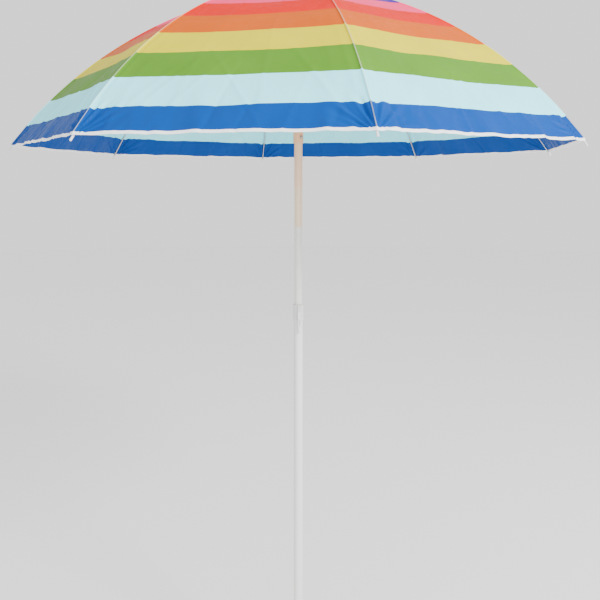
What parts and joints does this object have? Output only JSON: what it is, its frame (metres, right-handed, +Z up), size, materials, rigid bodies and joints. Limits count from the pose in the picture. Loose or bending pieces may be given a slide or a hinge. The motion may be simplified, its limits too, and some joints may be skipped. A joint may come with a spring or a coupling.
{
  "type": "beach umbrella",
  "caption": "Open beach umbrella with a striped fabric canopy on hinged steel ribs, a runner and stretchers, a tilting telescopic pole with a lever-lock collar, and a ground spike.",
  "frame": {"origin": "the point of the ground spike, on the pole's axis", "axes": "+Z up the pole; -Y toward rib 1 and the lock lever; +X to the right when facing them"},
  "size_m": [1.5316, 1.5316, 1.9971],
  "materials": {
    "painted_steel": "gloss white powder coat",
    "bright_steel": "zinc plated",
    "white_plastic": "satin moulded",
    "canopy_cloth": "satin polyester in coloured bands"
  },
  "bodies": {
    "ground_pole": {"lower_pole": "painted_steel", "ground_spike": "white_plastic", "collar": "white_plastic", "lever_pin": "bright_steel", "lever_spring": "bright_steel"},
    "mast": {"mast_tube": "painted_steel", "mast_foot_plug": "white_plastic", "tilt_link": "bright_steel", "link_rivets": "bright_steel"},
    "crown": {"tilt_tube": "painted_steel", "top_tube": "painted_steel", "tilt_pin": "bright_steel", "crown_hub": "white_plastic", "crown_ring": "bright_steel", "finial_cap": "white_plastic"},
    "runner": {"runner": "white_plastic", "runner_ring": "bright_steel"},
    "catch": {"catch_button": "bright_steel"},
    "lever": {"lock_lever": "white_plastic"},
    "rib_assembly_1": {"rib_1": "bright_steel", "rib_clip_1": "bright_steel", "tip_cap_1": "white_plastic", "canopy_gore_1": "canopy_cloth"},
    "stretcher_arm_1": {"stretcher_1": "bright_steel"},
    "rib_assembly_2": {"rib_2": "bright_steel", "rib_clip_2": "bright_steel", "tip_cap_2": "white_plastic", "canopy_gore_2": "canopy_cloth"},
    "stretcher_arm_2": {"stretcher_2": "bright_steel"},
    "rib_assembly_3": {"rib_3": "bright_steel", "rib_clip_3": "bright_steel", "tip_cap_3": "white_plastic", "canopy_gore_3": "canopy_cloth"},
    "stretcher_arm_3": {"stretcher_3": "bright_steel"},
    "rib_assembly_4": {"rib_4": "bright_steel", "rib_clip_4": "bright_steel", "tip_cap_4": "white_plastic", "canopy_gore_4": "canopy_cloth"},
    "stretcher_arm_4": {"stretcher_4": "bright_steel"},
    "rib_assembly_5": {"rib_5": "bright_steel", "rib_clip_5": "bright_steel", "tip_cap_5": "white_plastic", "canopy_gore_5": "canopy_cloth"},
    "stretcher_arm_5": {"stretcher_5": "bright_steel"},
    "rib_assembly_6": {"rib_6": "bright_steel", "rib_clip_6": "bright_steel", "tip_cap_6": "white_plastic", "canopy_gore_6": "canopy_cloth"},
    "stretcher_arm_6": {"stretcher_6": "bright_steel"},
    "rib_assembly_7": {"rib_7": "bright_steel", "rib_clip_7": "bright_steel", "tip_cap_7": "white_plastic", "canopy_gore_7": "canopy_cloth"},
    "stretcher_arm_7": {"stretcher_7": "bright_steel"},
    "rib_assembly_8": {"rib_8": "bright_steel", "rib_clip_8": "bright_steel", "tip_cap_8": "white_plastic", "canopy_gore_8": "canopy_cloth"},
    "stretcher_arm_8": {"stretcher_8": "bright_steel"}
  },
  "joints": [
    {"name": "height_slide", "type": "slide", "parent": "ground_pole", "child": "mast", "axis": [0, 0, 1], "range_m": [0, 0.2]},
    {"name": "tilt", "type": "hinge", "parent": "mast", "child": "crown", "pos_m": [0, 0, 1.315], "axis": [-1, 0, 0], "range_deg": [0, 35]},
    {"name": "fold", "type": "slide", "parent": "crown", "child": "runner", "axis": [0, 0, 1], "range_m": [-0.37987, 0]},
    {"name": "lever_rock", "type": "hinge", "parent": "ground_pole", "child": "lever", "pos_m": [0, -0.0162, 1.054], "axis": [1, 0, 0], "range_deg": [-2.5, 2.2], "stiffness_Nm_per_rad": 0.5, "deforming": ["lever_spring"]},
    {"name": "catch_press", "type": "slide", "parent": "runner", "child": "catch", "axis": [-0.3827, 0.9239, 0], "range_m": [0, 0.0016], "stiffness_N_per_m": 400},
    {"name": "rib_hinge_1", "type": "hinge", "parent": "crown", "child": "rib_assembly_1", "pos_m": [0, -0.016, 1.9544], "axis": [1, 0, 0], "range_deg": [0, 57.73], "deforming": ["canopy_gore_1"]},
    {"name": "stretcher_hinge_1", "type": "hinge", "parent": "runner", "child": "stretcher_arm_1", "pos_m": [0.0046, -0.0174, 1.59], "axis": [-1, 0, 0], "range_deg": [0, 39.82]},
    {"name": "rib_hinge_2", "type": "hinge", "parent": "crown", "child": "rib_assembly_2", "pos_m": [0.01131, -0.01131, 1.9544], "axis": [0.7071, 0.7071, 0], "range_deg": [0, 57.73], "deforming": ["canopy_gore_2"]},
    {"name": "stretcher_hinge_2", "type": "hinge", "parent": "runner", "child": "stretcher_arm_2", "pos_m": [0.01556, -0.00905, 1.59], "axis": [-0.7071, -0.7071, 0], "range_deg": [0, 39.82]},
    {"name": "rib_hinge_3", "type": "hinge", "parent": "crown", "child": "rib_assembly_3", "pos_m": [0.016, 0, 1.9544], "axis": [0, 1, 0], "range_deg": [0, 57.73], "deforming": ["canopy_gore_3"]},
    {"name": "stretcher_hinge_3", "type": "hinge", "parent": "runner", "child": "stretcher_arm_3", "pos_m": [0.0174, 0.0046, 1.59], "axis": [0, -1, 0], "range_deg": [0, 39.82]},
    {"name": "rib_hinge_4", "type": "hinge", "parent": "crown", "child": "rib_assembly_4", "pos_m": [0.01131, 0.01131, 1.9544], "axis": [-0.7071, 0.7071, 0], "range_deg": [0, 57.73], "deforming": ["canopy_gore_4"]},
    {"name": "stretcher_hinge_4", "type": "hinge", "parent": "runner", "child": "stretcher_arm_4", "pos_m": [0.00905, 0.01556, 1.59], "axis": [0.7071, -0.7071, 0], "range_deg": [0, 39.82]},
    {"name": "rib_hinge_5", "type": "hinge", "parent": "crown", "child": "rib_assembly_5", "pos_m": [0, 0.016, 1.9544], "axis": [-1, 0, 0], "range_deg": [0, 57.73], "deforming": ["canopy_gore_5"]},
    {"name": "stretcher_hinge_5", "type": "hinge", "parent": "runner", "child": "stretcher_arm_5", "pos_m": [-0.0046, 0.0174, 1.59], "axis": [1, 0, 0], "range_deg": [0, 39.82]},
    {"name": "rib_hinge_6", "type": "hinge", "parent": "crown", "child": "rib_assembly_6", "pos_m": [-0.01131, 0.01131, 1.9544], "axis": [-0.7071, -0.7071, 0], "range_deg": [0, 57.73], "deforming": ["canopy_gore_6"]},
    {"name": "stretcher_hinge_6", "type": "hinge", "parent": "runner", "child": "stretcher_arm_6", "pos_m": [-0.01556, 0.00905, 1.59], "axis": [0.7071, 0.7071, 0], "range_deg": [0, 39.82]},
    {"name": "rib_hinge_7", "type": "hinge", "parent": "crown", "child": "rib_assembly_7", "pos_m": [-0.016, 0, 1.9544], "axis": [0, -1, 0], "range_deg": [0, 57.73], "deforming": ["canopy_gore_7"]},
    {"name": "stretcher_hinge_7", "type": "hinge", "parent": "runner", "child": "stretcher_arm_7", "pos_m": [-0.0174, -0.0046, 1.59], "axis": [0, 1, 0], "range_deg": [0, 39.82]},
    {"name": "rib_hinge_8", "type": "hinge", "parent": "crown", "child": "rib_assembly_8", "pos_m": [-0.01131, -0.01131, 1.9544], "axis": [0.7071, -0.7071, 0], "range_deg": [0, 57.73], "deforming": ["canopy_gore_8"]},
    {"name": "stretcher_hinge_8", "type": "hinge", "parent": "runner", "child": "stretcher_arm_8", "pos_m": [-0.00905, -0.01556, 1.59], "axis": [-0.7071, 0.7071, 0], "range_deg": [0, 39.82]}
  ],
  "couplings": [
    {"joint": "rib_hinge_1", "follows": "fold", "rad_per_m": -2.6524},
    {"joint": "stretcher_hinge_1", "follows": "fold", "rad_per_m": -1.8295},
    {"joint": "rib_hinge_2", "follows": "fold", "rad_per_m": -2.6524},
    {"joint": "stretcher_hinge_2", "follows": "fold", "rad_per_m": -1.8295},
    {"joint": "rib_hinge_3", "follows": "fold", "rad_per_m": -2.6524},
    {"joint": "stretcher_hinge_3", "follows": "fold", "rad_per_m": -1.8295},
    {"joint": "rib_hinge_4", "follows": "fold", "rad_per_m": -2.6524},
    {"joint": "stretcher_hinge_4", "follows": "fold", "rad_per_m": -1.8295},
    {"joint": "rib_hinge_5", "follows": "fold", "rad_per_m": -2.6524},
    {"joint": "stretcher_hinge_5", "follows": "fold", "rad_per_m": -1.8295},
    {"joint": "rib_hinge_6", "follows": "fold", "rad_per_m": -2.6524},
    {"joint": "stretcher_hinge_6", "follows": "fold", "rad_per_m": -1.8295},
    {"joint": "rib_hinge_7", "follows": "fold", "rad_per_m": -2.6524},
    {"joint": "stretcher_hinge_7", "follows": "fold", "rad_per_m": -1.8295},
    {"joint": "rib_hinge_8", "follows": "fold", "rad_per_m": -2.6524},
    {"joint": "stretcher_hinge_8", "follows": "fold", "rad_per_m": -1.8295}
  ]
}
